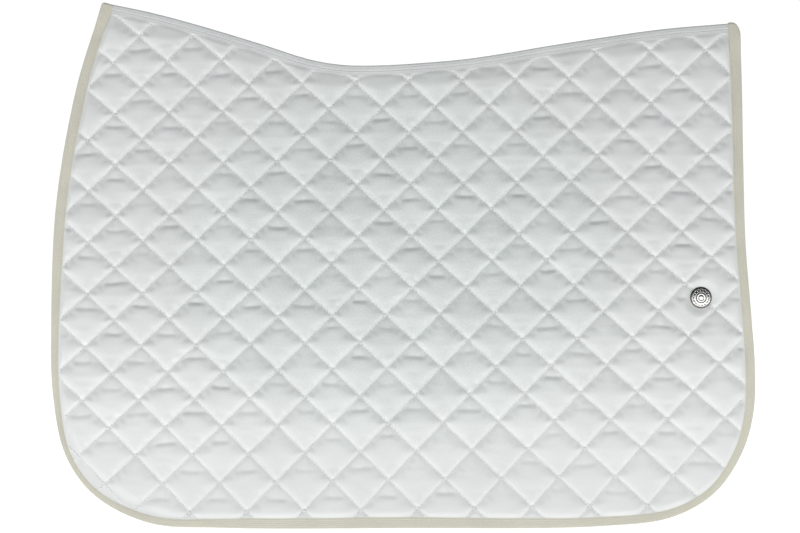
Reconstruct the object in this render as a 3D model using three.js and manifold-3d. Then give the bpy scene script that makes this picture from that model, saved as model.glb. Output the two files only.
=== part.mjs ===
// Quilted saddle pad, folded closed along its spine as it is sold and stored.
// X runs along the spine from the withers (-X) to the rear (+X), Z is up, and the near side faces -Y.
// The origin is the lowest point of the spine's top edge, on the fold's middle plane.
// Every panel is drawn for the near side and mirrored through that plane for the off side.
import * as THREE from "three";
import { mergeVertices } from "three/addons/utils/BufferGeometryUtils.js";
import Module from "manifold-3d";

// Driving dimensions, in millimetres
const GAP = 0.3;
const LINING = 0.6;
const BATTING = 3;
const COVER = 0.6;
const PUFF = 2.4;
const BINDING = { width: 9, cloth: 0.8 };
const TAPE = { width: 9, cloth: 0.8 };
const UNDER_TAPE = { width: 12.5, cloth: 0.6 };
const THREAD = 0.5;
const FOLD_CORNER = 2.2;
const QUILT = { width: 50.5, height: 48.5, node: [74, -37], crown: 0.45 };
const BUTTON = { at: [321.6, -216.2], radius: 10, dome: 3.4, shank: 1.6, back: 7 };

// The straight line that the flaps bend along, just below the spine's dip
const BEND_Z = -15;

// The top edge from the withers tip to the rear tip, then the edge from the rear tip round to the
// withers tip, as [x, z]
const TOP_EDGE = [
  [-226, 56.6], [-190, 49], [-145, 37], [-89, 20.2], [-42, 5.4], [-12, 0.5], [20, 0], [60, 2.2],
  [107, 6.5], [200, 21.4], [284, 33.5], [347, 39],
];
const SIDE_EDGE = [
  [358.5, 28], [360, -23], [361.2, -90], [363.3, -165], [368, -225], [372, -280], [370.5, -325],
  [360, -361], [335, -398], [295, -421], [228, -429.5], [42, -431.3], [-126, -431],
  [-192, -426.5], [-243, -401], [-270, -364], [-282, -308], [-283.7, -238], [-279, -128],
  [-260, -20], [-239, 49],
];
const REAR_TIP = [357.8, 40.4];
const WITHERS_TIP = [-235.5, 59.5];
const CORNER_STEPS = 5;
const STEPS_BETWEEN_POINTS = 2;
const FAR = 600;

// The layers' distances from the fold's middle plane
const BINDING_IN = GAP;
const LINING_IN = BINDING_IN + BINDING.cloth + GAP;
const BATTING_IN = LINING_IN + LINING + GAP;
const COVER_IN = BATTING_IN + BATTING + GAP;
const COVER_OUT = COVER_IN + COVER;
const CROWN = COVER_OUT + PUFF;
const BINDING_OUT = COVER_OUT + GAP + BINDING.cloth;
const UNDER_TAPE_OUT = COVER_OUT + GAP + UNDER_TAPE.cloth;
const TAPE_OUT = UNDER_TAPE_OUT + GAP + TAPE.cloth;

// How far the layers stop inside the edges, clear of the tape's and the binding's round folds
const TOP_INSET = 3.6;
const EDGE_INSET = 2.9;

const wasm = await Module();
wasm.setup();

const cotton = { color: 0xe4e7e6, roughness: 0.9, metalness: 0 };
const lining = { color: 0xe9ebea, roughness: 0.9, metalness: 0 };
const wadding = { color: 0xf2f2ee, roughness: 1, metalness: 0 };
const tape = { color: 0xdfe2e2, roughness: 0.85, metalness: 0 };
const webbing = { color: 0xcfccbe, roughness: 0.85, metalness: 0 };
const thread = { color: 0xf4f4f0, roughness: 0.7, metalness: 0 };
const tanThread = { color: 0xc9c5b4, roughness: 0.7, metalness: 0 };
const nickel = { color: 0xc9cbce, roughness: 0.2, metalness: 1 };

// ---- solids ----

function toSolid(geometry) {
  const bare = new THREE.BufferGeometry();
  const plain = geometry.index ? geometry.toNonIndexed() : geometry;
  bare.setAttribute("position", plain.getAttribute("position"));
  const merged = mergeVertices(bare, 1e-4);
  return new wasm.Manifold(new wasm.Mesh({
    numProp: 3,
    vertProperties: new Float32Array(merged.getAttribute("position").array),
    triVerts: new Uint32Array(merged.index.array),
  }));
}

function toGeometry(solid) {
  const { vertProperties, triVerts } = solid.getMesh();
  const geometry = new THREE.BufferGeometry();
  geometry.setAttribute("position", new THREE.BufferAttribute(new Float32Array(vertProperties), 3));
  geometry.setIndex(new THREE.BufferAttribute(new Uint32Array(triVerts), 1));
  return geometry;
}

// The same solid on the other side of the fold
function mirrored(solid) {
  const geometry = toGeometry(solid).toNonIndexed();
  const position = geometry.getAttribute("position");
  const flipped = new Float32Array(position.array.length);
  for (let i = 0; i < position.count; i += 3) {
    for (const [from, to] of [[0, 0], [1, 2], [2, 1]]) {
      flipped[3 * (i + to)] = position.getX(i + from);
      flipped[3 * (i + to) + 1] = -position.getY(i + from);
      flipped[3 * (i + to) + 2] = position.getZ(i + from);
    }
  }
  geometry.setAttribute("position", new THREE.BufferAttribute(flipped, 3));
  return toSolid(geometry);
}

// An outline in X and Z as a slab between two distances from the middle plane, on the near side
function slab(outline, inner, outer) {
  const shape = new THREE.Shape(outline.map((p) => new THREE.Vector2(p.x, p.y)));
  const geometry = new THREE.ExtrudeGeometry(shape, { depth: outer - inner, bevelEnabled: false });
  return toSolid(geometry.translate(0, 0, inner).rotateX(Math.PI / 2));
}

// Everything between two heights
function between(low, high) {
  const geometry = new THREE.BoxGeometry(2 * FAR, 2 * FAR, high - low);
  return toSolid(geometry.translate(0, 0, (low + high) / 2));
}

const aboveBend = between(BEND_Z + GAP / 2, FAR);
const belowBend = between(-FAR, BEND_Z - GAP / 2);

// ---- outline ----

function curveThrough(points) {
  const knots = points.map(([x, z]) => new THREE.Vector3(x, z, 0));
  return new THREE.CatmullRomCurve3(knots, false, "centripetal");
}

const topEdge = curveThrough(TOP_EDGE);
const sideEdge = curveThrough(SIDE_EDGE);

// Places along an edge, each with the direction into the pad, and one more past each end
function stations(curve, reach) {
  const count = STEPS_BETWEEN_POINTS * (curve.points.length - 1);
  const list = [];
  for (let i = 0; i <= count; i += 1) {
    const at = curve.getPoint(i / count);
    const along = curve.getTangent(i / count);
    list.push({ at: new THREE.Vector2(at.x, at.y), inward: new THREE.Vector2(along.y, -along.x) });
  }
  const beyond = (end, sign) => ({
    at: new THREE.Vector2(-end.inward.y, end.inward.x).multiplyScalar(sign * reach).add(end.at),
    inward: end.inward,
  });
  return reach ? [beyond(list[0], -1), ...list, beyond(list[count], 1)] : list;
}

function inset(curve, distance, reach) {
  return stations(curve, reach).map(({ at, inward }) => at.clone().addScaledVector(inward, distance));
}

const underTopEdge = (distance, inner, outer) => slab(
  [...inset(topEdge, distance, 60), new THREE.Vector2(FAR, -FAR), new THREE.Vector2(-FAR, -FAR)],
  inner,
  outer,
);
const insideSideEdge = (distance, inner, outer) => slab(inset(sideEdge, distance, 60), inner, outer);

// A layer of the pad that stops short of its edges
const layer = (fromTop, fromSide, inner, outer) => (
  underTopEdge(fromTop, inner, outer).intersect(insideSideEdge(fromSide, inner, outer))
);

function roundedCorner(start, corner, end) {
  const [from, through, to] = [start, corner, end].map(([x, z]) => new THREE.Vector2(x, z));
  return new THREE.QuadraticBezierCurve(from, through, to).getPoints(CORNER_STEPS).slice(1, -1);
}

const silhouette = [
  ...inset(topEdge, 0, 0),
  ...roundedCorner(TOP_EDGE.at(-1), REAR_TIP, SIDE_EDGE[0]),
  ...inset(sideEdge, 0, 0),
  ...roundedCorner(SIDE_EDGE.at(-1), WITHERS_TIP, TOP_EDGE[0]),
];

// ---- strips that follow an edge ----

// A closed section, as [distance from the middle plane, distance in from the edge], carried along
function strip(curve, section, reach = 0) {
  const contour = section.map(([out, inward]) => new THREE.Vector2(out, inward));
  const cap = THREE.ShapeUtils.triangulateShape(contour, []);
  const rings = stations(curve, reach).map(({ at, inward }) => contour.map(({ x: out, y: depth }) => (
    [at.x + inward.x * depth, -out, at.y + inward.y * depth]
  )));
  const corners = [];
  const add = (...points) => points.forEach((point) => corners.push(...point));
  for (let i = 0; i + 1 < rings.length; i += 1) {
    for (let j = 0; j < section.length; j += 1) {
      const k = (j + 1) % section.length;
      add(rings[i][j], rings[i + 1][j], rings[i][k]);
      add(rings[i][k], rings[i + 1][j], rings[i + 1][k]);
    }
  }
  const last = rings[rings.length - 1];
  for (const [a, b, c] of cap) {
    add(rings[0][a], rings[0][b], rings[0][c]);
    add(last[a], last[c], last[b]);
  }
  const reversed = THREE.ShapeUtils.area(contour) > 0;
  const geometry = new THREE.BufferGeometry();
  geometry.setAttribute("position", new THREE.Float32BufferAttribute(corners, 3));
  return toSolid(reversed ? insideOut(geometry) : geometry);
}

function insideOut(geometry) {
  const { array } = geometry.getAttribute("position");
  for (let i = 0; i < array.length; i += 9) {
    const second = array.slice(i + 3, i + 6);
    array.set(array.slice(i + 6, i + 9), i + 3);
    array.set(second, i + 6);
  }
  return geometry;
}

// A cloth folded over an edge: from one distance out to another, with its outer corners cut off
function foldSection(low, high, top, width, cloth) {
  const layerOfCloth = (left, right, start) => {
    const corner = FOLD_CORNER - (start - top);
    return [
      [left, width], [left, start + corner], [left + corner, start],
      [right - corner, start], [right, start + corner], [right, width],
    ];
  };
  const outside = layerOfCloth(low, high, top);
  return [...outside, ...layerOfCloth(low + cloth, high - cloth, top + cloth).reverse()];
}

const threadSection = (out, inward) => [
  [out, inward], [out + THREAD, inward], [out + THREAD, inward + THREAD], [out, inward + THREAD],
];

// ---- quilting ----

// A sheet of diamond puffs with flat crowns and seams between them, on the near side
function puffs(inner, seam, crown) {
  const [nodeX, nodeZ] = QUILT.node;
  const place = (i, j) => [nodeX + ((i + j) * QUILT.width) / 2, nodeZ + ((j - i) * QUILT.height) / 2];
  const count = 26;
  const corners = [];
  const add = (...points) => points.forEach(([x, out, z]) => corners.push(x, -out, z));
  const quad = (a, b, c, d) => {
    add(a, b, c);
    add(a, c, d);
  };
  for (let i = -count; i < count; i += 1) {
    for (let j = -count; j < count; j += 1) {
      const around = [place(i, j), place(i + 1, j), place(i + 1, j + 1), place(i, j + 1)];
      const [middleX, middleZ] = place(i + 0.5, j + 0.5);
      const low = around.map(([x, z]) => [x, seam, z]);
      const back = around.map(([x, z]) => [x, inner, z]);
      const high = around.map(([x, z]) => [
        middleX + (x - middleX) * QUILT.crown, crown, middleZ + (z - middleZ) * QUILT.crown,
      ]);
      quad(...high);
      quad(...back.toReversed());
      for (let side = 0; side < 4; side += 1) {
        const next = (side + 1) % 4;
        quad(low[side], low[next], high[next], high[side]);
      }
      const open = [j === -count, i === count - 1, j === count - 1, i === -count];
      for (let side = 0; side < 4; side += 1) {
        const next = (side + 1) % 4;
        if (open[side]) quad(low[next], low[side], back[side], back[next]);
      }
    }
  }
  const geometry = new THREE.BufferGeometry();
  geometry.setAttribute("position", new THREE.Float32BufferAttribute(corners, 3));
  return toSolid(geometry);
}

// ---- button ----

// A turned piece of the button, as [radius, distance from the middle plane] from axis to axis
function turned(profile, steps) {
  const points = profile.map(([radius, out]) => new THREE.Vector2(radius, out));
  const geometry = new THREE.LatheGeometry(points, steps).rotateX(Math.PI);
  return toSolid(geometry.translate(BUTTON.at[0], 0, BUTTON.at[1]));
}

const cylinder = (radius, inner, outer, steps = 24) => (
  turned([[0, inner], [radius, inner], [radius, outer], [0, outer]], steps)
);

function buttonPieces() {
  const seat = COVER_OUT + GAP;
  const { radius, dome, shank, back } = BUTTON;
  const hub = radius * 0.3;
  const socket = cylinder(shank + GAP, seat - 1, seat + 1.1, 16);
  const cap = turned([
    [0, seat], [radius, seat], [radius, seat + 1.4], [radius - 0.7, seat + 2.1],
    [radius - 1.6, seat + 1.7], [radius - 2, seat + 1.5], [hub + 0.7, seat + 1.9],
    [hub + GAP, seat + 1.9], [hub + GAP, seat + 1.6], [0, seat + 1.6],
  ], 24);
  const centre = turned([
    [0, seat + 1.9], [hub, seat + 1.9], [hub, seat + 2.6], [hub * 0.7, seat + 3.1], [0, seat + dome],
  ], 16);
  const nail = turned([
    [0, BINDING_IN], [back, BINDING_IN], [back, BINDING_IN + 0.8], [shank, BINDING_IN + 0.8],
    [shank, seat + 0.8], [0, seat + 0.8],
  ], 16);
  return { button_cap: cap.subtract(socket), button_centre: centre, button_nail: nail };
}

// ---- the pad ----

const pad = new THREE.Group();

function addPiece(name, solid, look) {
  const mesh = new THREE.Mesh(toGeometry(solid), new THREE.MeshStandardMaterial(look));
  mesh.name = name;
  pad.add(mesh);
}

const sides = [["near", (solid) => solid], ["off", mirrored]];

// Each panel's layers, above the bend as part of the spine and below it as a flap
function addPanels() {
  const puffInset = UNDER_TAPE.width + 1;
  const puffed = layer(puffInset, BINDING.width + 1, 0, FAR)
    .intersect(puffs(COVER_IN, COVER_OUT, CROWN))
    .subtract(cylinder(BUTTON.radius + 1.2, COVER_OUT, FAR));
  const layers = {
    cover: layer(TOP_INSET, EDGE_INSET, COVER_IN, COVER_OUT).add(puffed),
    batting: layer(TOP_INSET, EDGE_INSET, BATTING_IN, BATTING_IN + BATTING),
    lining: layer(TOP_INSET, EDGE_INSET, LINING_IN, LINING_IN + LINING),
  };
  const looks = { cover: cotton, batting: wadding, lining };
  const nailHole = cylinder(BUTTON.shank + GAP, 0, FAR, 16);
  for (const [side, place] of sides) {
    for (const [name, whole] of Object.entries(layers)) {
      const flap = side === "near" ? whole.subtract(nailHole) : whole;
      addPiece(`${side}_${name}_upper`, place(whole.intersect(aboveBend)), looks[name]);
      addPiece(`${side}_${name}`, place(flap.intersect(belowBend)), looks[name]);
    }
  }
}

// The webbing folded round each flap's edge, with its row of stitching
function addFlapBindings() {
  const section = foldSection(BINDING_IN, BINDING_OUT, 0, BINDING.width, BINDING.cloth);
  const binding = strip(sideEdge, section, 20).intersect(belowBend);
  const seam = threadSection(BINDING_OUT + GAP, BINDING.width - 2);
  const stitching = strip(sideEdge, seam, 20).intersect(between(-FAR, BEND_Z - 4));
  for (const [side, place] of sides) {
    addPiece(`${side}_binding`, place(binding), webbing);
    addPiece(`${side}_binding_stitching`, place(stitching), tanThread);
  }
}

// The same webbing round the ends of the spine, where it crosses over the fold
function addTipBindings() {
  const section = foldSection(BINDING_IN, BINDING_OUT, 0, BINDING.width, BINDING.cloth);
  const nearLeg = strip(sideEdge, section, 30);
  const over = foldSection(-BINDING_OUT, BINDING_OUT, 0, BINDING.width, BINDING.cloth);
  const crossing = strip(topEdge, over, 30).subtract(insideSideEdge(BINDING.width, -FAR, FAR));
  const outline = slab(silhouette, -FAR, FAR);
  const loops = nearLeg.add(mirrored(nearLeg)).add(crossing).intersect(outline).intersect(aboveBend);
  const halves = { withers_binding: -FAR / 2, rear_binding: FAR / 2 };
  for (const [name, middle] of Object.entries(halves)) {
    const half = new THREE.BoxGeometry(FAR, FAR, FAR).translate(middle, 0, 0);
    addPiece(name, loops.intersect(toSolid(half)), webbing);
  }
}

// The tapes over and under the spine's seam, ending against the webbing at both tips
function addSpine() {
  const clear = insideSideEdge(BINDING.width + GAP, -FAR, FAR);
  const fold = (half, top, { width, cloth }) => (
    strip(topEdge, foldSection(-half, half, top, width, cloth), 30).intersect(clear)
  );
  const underTop = TAPE.cloth + GAP;
  const liningTop = underTop + UNDER_TAPE.cloth + GAP;
  addPiece("spine_tape", fold(TAPE_OUT, 0, TAPE), tape);
  addPiece("spine_under_tape", fold(UNDER_TAPE_OUT, underTop, UNDER_TAPE), tape);
  const inner = [
    [-LINING_IN + GAP, UNDER_TAPE.width], [-LINING_IN + GAP, liningTop],
    [LINING_IN - GAP, liningTop], [LINING_IN - GAP, UNDER_TAPE.width],
    [BINDING_IN, UNDER_TAPE.width], [BINDING_IN, liningTop + TAPE.cloth],
    [-BINDING_IN, liningTop + TAPE.cloth], [-BINDING_IN, UNDER_TAPE.width],
  ];
  addPiece("spine_lining_tape", strip(topEdge, inner, 30).intersect(clear), tape);
  const row = threadSection(TAPE_OUT + GAP, TAPE.width - 2);
  const stitching = strip(topEdge, row, 30).intersect(clear);
  for (const [side, place] of sides) {
    addPiece(`spine_${side}_stitching`, place(stitching), thread);
  }
}

function addButton() {
  for (const [name, solid] of Object.entries(buttonPieces())) {
    addPiece(name, solid, nickel);
  }
}

addPanels();
addFlapBindings();
addTipBindings();
addSpine();
addButton();

export default pad;
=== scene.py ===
"""A white diamond-quilted saddle pad, folded closed along its spine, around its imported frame."""

import math

import bmesh
import bpy
import numpy as np
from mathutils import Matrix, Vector


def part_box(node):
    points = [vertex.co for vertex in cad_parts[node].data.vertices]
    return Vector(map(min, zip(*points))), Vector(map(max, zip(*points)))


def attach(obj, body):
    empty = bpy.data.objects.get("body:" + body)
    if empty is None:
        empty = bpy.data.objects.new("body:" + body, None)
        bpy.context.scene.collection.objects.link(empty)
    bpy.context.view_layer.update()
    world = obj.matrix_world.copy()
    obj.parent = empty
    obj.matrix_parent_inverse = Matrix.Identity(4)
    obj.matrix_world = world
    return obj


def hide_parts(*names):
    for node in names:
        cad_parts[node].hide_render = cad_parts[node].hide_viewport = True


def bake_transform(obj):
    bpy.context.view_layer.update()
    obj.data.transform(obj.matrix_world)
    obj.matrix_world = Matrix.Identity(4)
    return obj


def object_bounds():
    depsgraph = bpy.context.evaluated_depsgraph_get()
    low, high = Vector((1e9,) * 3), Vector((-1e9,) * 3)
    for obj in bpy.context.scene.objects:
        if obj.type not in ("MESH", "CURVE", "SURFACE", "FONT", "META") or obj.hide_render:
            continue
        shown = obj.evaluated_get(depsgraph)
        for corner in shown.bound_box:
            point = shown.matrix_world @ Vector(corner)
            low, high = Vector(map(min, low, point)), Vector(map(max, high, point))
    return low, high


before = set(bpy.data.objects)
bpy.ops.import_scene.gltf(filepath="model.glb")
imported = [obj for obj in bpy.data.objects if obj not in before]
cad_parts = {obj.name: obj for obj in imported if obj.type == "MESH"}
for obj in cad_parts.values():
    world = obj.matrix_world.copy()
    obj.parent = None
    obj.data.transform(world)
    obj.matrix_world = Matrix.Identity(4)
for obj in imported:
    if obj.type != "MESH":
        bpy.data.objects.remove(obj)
CAD_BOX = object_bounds()
MM = 0.001

# ---- driving sizes, in millimetres ------------------------------------

NEAR = -1               # the sides' directions along Y
OFF = 1
NAMES = {NEAR: "near", OFF: "off"}

# The top edge from the withers tip to the rear tip, then the side edge from the rear tip down,
# along the bottom and up to the withers tip, as (x, z). They are the frame's own outline.
TOP_EDGE = [
    (-226, 56.6), (-190, 49), (-145, 37), (-89, 20.2), (-42, 5.4), (-12, 0.5), (20, 0), (60, 2.2),
    (107, 6.5), (200, 21.4), (284, 33.5), (347, 39),
]
SIDE_EDGE = [
    (358.5, 28), (360, -23), (361.2, -90), (363.3, -165), (368, -225), (372, -280), (370.5, -325),
    (360, -361), (335, -398), (295, -421), (228, -429.5), (42, -431.3), (-126, -431),
    (-192, -426.5), (-243, -401), (-270, -364), (-282, -308), (-283.7, -238), (-279, -128),
    (-260, -20), (-239, 49),
]
PAD_ACROSS = (-310, 400)        # the whole pad lies well between these, across and up
PAD_UP = (-460, 85)
PANEL_IN = 1.2          # the lining's and the cover's crowns, out from the fold's middle plane
PANEL_OUT = 11.6
SEAM_IN = 4.5           # where the quilting pulls the two together
SEAM_OUT = 5.8
LOW_PUFFS = (-300, -390)        # the puffs grow lower and smoother between these heights
EDGE_IN = 1.5           # where the binding presses the edge
EDGE_OUT = 7.0
BINDING_IN = 0.3
BINDING_OUT = 7.3
BINDING_CORNER = 1.3
SHARP = 0.12            # how near a cut edge the next line of points is, to keep it crisp
# The webbing was sewn on by hand and shows more in some places than in others. These are its
# widths at equal distances along the side edge.
BINDING_WIDTHS = [10.8, 9.8, 8.7, 8.9, 7.3, 8.7, 9.9, 10.5, 10, 7.4, 5, 6.9, 9.8, 10.3, 9.6]
TAPE_WIDTH = 6.4
UNDER_TAPE_WIDTH = 8.8
RIB_PITCH = 2.3         # the spine tape's long ribs
RIB_HEIGHT = 0.05
GROOVE_AT = 5.2         # the groove that its stitching draws it down into
GROOVE_DEPTH = 0.3
TIP_OUT = 9.3           # the webbing stands out further where it crosses over the tapes' ends
TIP_FOLD = 2.0          # how round it is there across the fold

# Quilting: half a diamond's width and height at the origin, and how they grow with depth
QUILT_NODE = (75.4, -38.3)
HALF_WIDTH = 24.96
HALF_HEIGHT = 23.46
WIDTH_GROWTH = 1.27e-4
HEIGHT_GROWTH = 1.37e-4
QUILT_SHEAR = (9.5e-4, 7.5e-4)
FIRST_DIAMONDS = (-9, -9)       # the quilting's extent, in diamonds along its two slants
LAST_DIAMONDS = (16, 17)
PANEL_DIVISIONS = {NEAR: 26, OFF: 14}       # of each diamond's side, in the panels' meshes

# The gathers under the diamonds' top corners. Each one's strength, distance below the corner, half
# length, shift sideways, tilt and bow lie between these limits.
CREASE = 3.0            # the deepest one's depth
STRENGTHS = (0.12, 1)
PLACES = (10.8, 15.8)
REACHES = (7.5, 11.5)
SHIFTS = (-2.5, 2.5)
TILTS = (-0.08, 0.08)
BOWS = (-0.003, 0.011)
SLOPES = (3.6, 0.8)     # how gently the cloth falls into it from above and from below
# The softer gathers over some of the bottom corners
LOW_CREASE = 0.55
LOW_PLACES = (33, 40)
LOW_REACH = 7.5
LOW_SLOPES = (3.2, 1.2)
# The wrinkles over all, each kind as its height, how it is drawn out sideways, its slant, its size
# and its seed
WRINKLES = ((0.32, 1, 0, 26, 5), (0.24, 0.33, 0, 4.2, 6), (0.14, 0.3, 0.12, 9, 8))
FLAT_CORNER = (-232, -385)      # where the near side is pressed flat, and how far round it
FLAT_REACH = 62

# Each kind of stitch as its length, width and height, and the distance from one to the next
QUILTING_STITCH = (3.2, 1.25, 1.0)
QUILTING_PITCH = 3.5
EDGE_STITCH = (2.1, 0.55, 0.35)
EDGE_PITCH = 2.7
SPINE_STITCH = (2.6, 0.45, 0.22)
SPINE_PITCH = 3.1
EDGE_STITCHES_IN = 1.5          # from the webbing's inner edge

# Each of the spine's tapes as half its breadth, how far its fold is below the top edge, its width
# and its cloth's thickness. Each row of stitches as how far out and how far down it is.
TAPES = {
    "spine_tape": (8.2, 0, TAPE_WIDTH, 0.8),
    "spine_under_tape": (7.6, 0.9, UNDER_TAPE_WIDTH, 0.6),
    "spine_lining_tape": (1.1, 2, UNDER_TAPE_WIDTH, 0.35),
}
SPINE_ROWS = {"upper": (7.95, GROOVE_AT), "lower": (7.5, 7.9)}

# The cloth simulation that blows up the cover between its seams. The solver is steadier on a sheet
# ten times as large as the real one.
SOLVER_SCALE = 10
SOLVER_STEPS = 18
SHEET_DIVISIONS = {NEAR: 10, OFF: 7}        # of each diamond's side, in the sheets
CLOTH = {
    "quality": 5, "mass": 0.15, "tension_stiffness": 40, "compression_stiffness": 40,
    "shear_stiffness": 10, "bending_stiffness": 2.5, "tension_damping": 5,
    "compression_damping": 5, "shear_damping": 5, "use_pressure": True,
    "uniform_pressure_force": -2.4, "shrink_min": -0.006,
}
CLOTH_WEIGHT = 3
HIGHEST_PUFF = 1.3      # the wadding stops a puff this much higher than usual
OVERHANG = 0.45         # how much steeper a puff is over its lower seams than a plain dome

button_low, button_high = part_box("button_cap")
BUTTON = (button_low + button_high) / (2 * MM)
BUTTON_RADIUS = (button_high.x - button_low.x) / (2 * MM)
CAP_LEAN = (16, 31)     # how far its shoulder leans back at its centre and at its rim, in degrees
FLUTES = 15


# ---- plain mathematics ------------------------------------------------

def smooth(low, high, value):
    t = np.clip((value - low) / (high - low), 0, 1)
    return t * t * (3 - 2 * t)


def between(limits, share):
    """The value that is so far from the first limit to the second."""
    return limits[0] + (limits[1] - limits[0]) * share


def curve_through(points, steps):
    """A centripetal Catmull-Rom curve through the points, as the frame's outline is drawn."""
    p = np.array(points, float)
    p = np.vstack([2 * p[0] - p[1], p, 2 * p[-1] - p[-2]])
    out = []
    for i in range(1, len(p) - 2):
        a, b, c, d = p[i - 1:i + 3]
        before, span, after = (np.sqrt(np.linalg.norm(q)) for q in (b - a, c - b, d - c))
        leave = ((b - a) / before - (c - a) / (before + span) + (c - b) / span) * span
        reach = ((c - b) / span - (d - b) / (span + after) + (d - c) / after) * span
        t = np.linspace(0, 1, steps, endpoint=False)[:, None]
        out.append(
            b * (2 * t**3 - 3 * t**2 + 1) + leave * (t**3 - 2 * t**2 + t)
            + c * (3 * t**2 - 2 * t**3) + reach * (t**3 - t**2)
        )
    return np.vstack([*out, p[-2:-1]])


def evenly(line, step):
    """The same line with its points a fixed distance apart."""
    along = np.concatenate([[0], np.cumsum(np.linalg.norm(np.diff(line, axis=0), axis=1))])
    at = np.linspace(0, along[-1], max(2, round(along[-1] / step) + 1))
    return np.stack([np.interp(at, along, line[:, k]) for k in range(line.shape[1])], axis=1)


def inward_of(line):
    """The direction into the pad at each point of an edge walked clockwise."""
    along = np.gradient(line, axis=0)
    along /= np.linalg.norm(along, axis=1, keepdims=True)
    return np.stack([along[:, 1], -along[:, 0]], axis=1)


def lengthened(line, before, after):
    first = line[0] + (line[0] - line[1]) / np.linalg.norm(line[0] - line[1]) * before
    last = line[-1] + (line[-1] - line[-2]) / np.linalg.norm(line[-1] - line[-2]) * after
    return np.vstack([first, line, last])


top_edge = evenly(curve_through(TOP_EDGE, 24), 2.5)
side_edge = evenly(curve_through(SIDE_EDGE, 24), 2.5)


def nearest_on(line, x, z):
    """For each place, which point of the line is nearest, and how far inside the line it is."""
    inward = inward_of(line)
    flat = np.stack([np.ravel(x), np.ravel(z)], axis=1)
    point, inside = np.empty(len(flat), int), np.empty(len(flat))
    for start in range(0, len(flat), 20000):
        part = flat[start:start + 20000]
        found = ((part[:, None, :] - line[None]) ** 2).sum(axis=2).argmin(axis=1)
        point[start:start + 20000] = found
        inside[start:start + 20000] = ((part - line[found]) * inward[found]).sum(axis=1)
    return point.reshape(np.shape(x)), inside.reshape(np.shape(x))


def depth_from(line, x, z):
    """How far inside an edge each place is, below nought outside it."""
    return nearest_on(evenly(lengthened(line, 60, 60), 4), x, z)[1]


def noise(x, z, size, seed):
    """Smooth random values from -1 to 1 that change over about one size."""
    u, v = x / size + 500, z / size + 500
    i, j = np.floor(u).astype(int), np.floor(v).astype(int)
    s, t = smooth(0, 1, u - i), smooth(0, 1, v - j)
    corner = lambda a, b: random_at(i + a, j + b, seed) * 2 - 1
    low = corner(0, 0) * (1 - s) + corner(1, 0) * s
    high = corner(0, 1) * (1 - s) + corner(1, 1) * s
    return low * (1 - t) + high * t


def random_at(i, j, seed):
    """A fixed random value from 0 to 1 for each pair of whole numbers."""
    mixed = np.sin(i * 12.9898 + j * 78.233 + seed * 37.719) * 43758.5453
    return mixed - np.floor(mixed)


# ---- quilting ---------------------------------------------------------

def straying(x, z):
    """How far the hand-guided rows stray from an even grid, in half diamonds across and down."""
    # How far across and up the pad a point is, each about -1 to 1
    u = np.clip((x - 40) / 320, -1.06, 1.06)
    w = np.clip((z + 190) / 240, -1.06, 1.06)
    across = 0.025 + 0.296 * u - 0.053 * u**2 - 0.184 * u**3 + 0.035 * u * w - 0.387 * u * w**2
    down = -0.016 - 0.054 * w + 0.215 * w**3 - 0.034 * u**2 + 0.059 * u * w - 0.055 * u**2 * w
    return across, down


def quilt_steps(x, z):
    """Where a point is in half diamonds, across and down from the quilting's first node."""
    dx, dz = x - QUILT_NODE[0], z - QUILT_NODE[1]
    across = dx / HALF_WIDTH * (1 + WIDTH_GROWTH * z) + QUILT_SHEAR[0] * dz
    down = -dz / HALF_HEIGHT * (1 + HEIGHT_GROWTH * dz) + QUILT_SHEAR[1] * dx
    stray = straying(x, z)
    return across + stray[0], down + stray[1]


def quilt_place(across, down):
    """The point that is so many half diamonds across and down."""
    x = QUILT_NODE[0] + across * HALF_WIDTH
    z = QUILT_NODE[1] - down * HALF_HEIGHT
    for _ in range(12):
        a, d = quilt_steps(x, z)
        x = x + (across - a) * HALF_WIDTH
        z = z - (down - d) * HALF_HEIGHT
    return x, z


def pillow(share):
    """The height of stuffed cloth between two seams: steep beside them and nearly flat between."""
    off_centre = np.abs(2 * share - 1)
    return 0.56 * (1 - off_centre**2.4) + 0.44 * (1 - off_centre**12)


def within_pad(x, z, from_side, from_top):
    """Which places are so far inside the side edge and the top edge."""
    inside = (x > PAD_ACROSS[0]) & (x < PAD_ACROSS[1]) & (z > PAD_UP[0]) & (z < PAD_UP[1])
    found = inside.copy()
    near_x, near_z = x[inside], z[inside]
    found[inside] = depth_from(side_edge, near_x, near_z) > from_side
    found[inside] &= depth_from(top_edge, near_x, near_z) > from_top
    return found


def quilt_lattice(divisions):
    """A grid of points that runs along every seam, as its x and z and which points are on a seam."""
    u = np.arange(FIRST_DIAMONDS[0] * divisions, LAST_DIAMONDS[0] * divisions + 1)
    v = np.arange(FIRST_DIAMONDS[1] * divisions, LAST_DIAMONDS[1] * divisions + 1)
    gu, gv = np.meshgrid(u, v)
    x, z = quilt_place((gu - gv) / divisions, (gu + gv) / divisions)
    return x, z, (gu % divisions == 0) | (gv % divisions == 0)


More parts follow.
